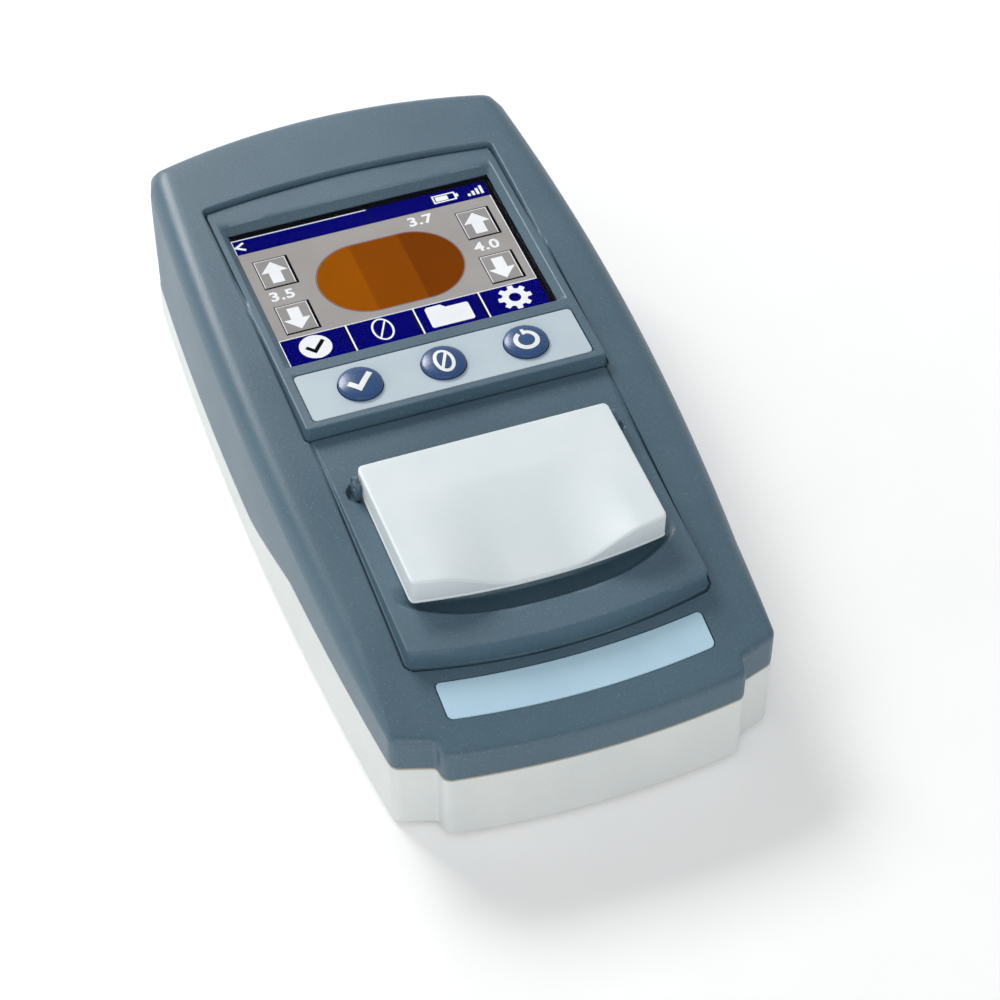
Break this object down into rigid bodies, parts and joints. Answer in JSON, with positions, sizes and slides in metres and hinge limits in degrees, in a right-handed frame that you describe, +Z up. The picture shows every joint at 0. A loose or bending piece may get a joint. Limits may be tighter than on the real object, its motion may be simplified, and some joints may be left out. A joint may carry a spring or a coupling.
{
  "type": "petroleum colorimeter",
  "caption": "Handheld bench colorimeter for oils: slate cover with colour display and round keys over a pale base, and a hinged lid with a finger scoop over the sample well.",
  "frame": {"origin": "middle of the footprint, on the plane that the feet stand on", "axes": "+X to the instrument's right seen from its front, +Y to its rear, +Z up"},
  "size_m": [0.0972, 0.193, 0.0453],
  "materials": {
    "slate_plastic": "fine texture",
    "pale_grey_plastic": "satin",
    "pale_white_plastic": "satin",
    "tan_elastomer": "matt",
    "clear_pane": "polished",
    "display_face": "glossy",
    "black_plastic": "matt",
    "keypad_foil": "satin",
    "key_blue": "glossy",
    "steel": "plated",
    "lamp_epoxy": "clear",
    "board_green": "solder mask",
    "cell_wrap": "film",
    "rubber": "matt",
    "label_blue": "satin"
  },
  "bodies": {
    "instrument": {"top_cover": "slate_plastic", "base_shell": "pale_grey_plastic", "seam_gasket": "tan_elastomer", "display_window": "clear_pane", "display_module": "display_face", "display_frame": "black_plastic", "keypad_foil": "keypad_foil", "switch_check": "black_plastic", "switch_zero": "black_plastic", "switch_power": "black_plastic", "lid_hinge_pin": "steel", "light_seal": "rubber", "sample_well": "black_plastic", "source_window": "clear_pane", "detector_window": "clear_pane", "source_lamp": "lamp_epoxy", "source_board": "board_green", "detector_sensor": "black_plastic", "detector_board": "board_green", "main_board": "board_green", "board_screw_1": "steel", "board_screw_2": "steel", "board_screw_3": "steel", "board_screw_4": "steel", "buzzer": "black_plastic", "usb_socket": "steel", "battery_tray": "black_plastic", "contact_front": "steel", "contact_rear": "steel", "battery_cell_1": "cell_wrap", "battery_cell_2": "cell_wrap", "battery_cell_3": "cell_wrap", "battery_cell_4": "cell_wrap", "foot_1": "rubber", "foot_2": "rubber", "foot_3": "rubber", "foot_4": "rubber", "housing_screw_1": "steel", "housing_screw_2": "steel", "housing_screw_3": "steel", "housing_screw_4": "steel", "front_label": "label_blue"},
    "lid": {"sample_lid": "pale_white_plastic"},
    "check_key": {"key_check": "key_blue"},
    "zero_key": {"key_zero": "key_blue"},
    "power_key": {"key_power": "key_blue"},
    "door": {"battery_door": "pale_grey_plastic"}
  },
  "joints": [
    {"name": "lid_hinge", "type": "hinge", "parent": "instrument", "child": "lid", "pos_m": [0, -0.0245, 0.04192], "axis": [-1, 0, 0], "range_deg": [0, 93]},
    {"name": "check_press", "type": "slide", "parent": "instrument", "child": "check_key", "axis": [0, 0, -1], "range_m": [0, 0.0006], "stiffness_N_per_m": 1500},
    {"name": "zero_press", "type": "slide", "parent": "instrument", "child": "zero_key", "axis": [0, 0, -1], "range_m": [0, 0.0006], "stiffness_N_per_m": 1500},
    {"name": "power_press", "type": "slide", "parent": "instrument", "child": "power_key", "axis": [0, 0, -1], "range_m": [0, 0.0006], "stiffness_N_per_m": 1500},
    {"name": "door_hinge", "type": "hinge", "parent": "instrument", "child": "door", "pos_m": [0, 0.01785, 0.0008], "axis": [-1, 0, 0], "range_deg": [0, 60]}
  ]
}
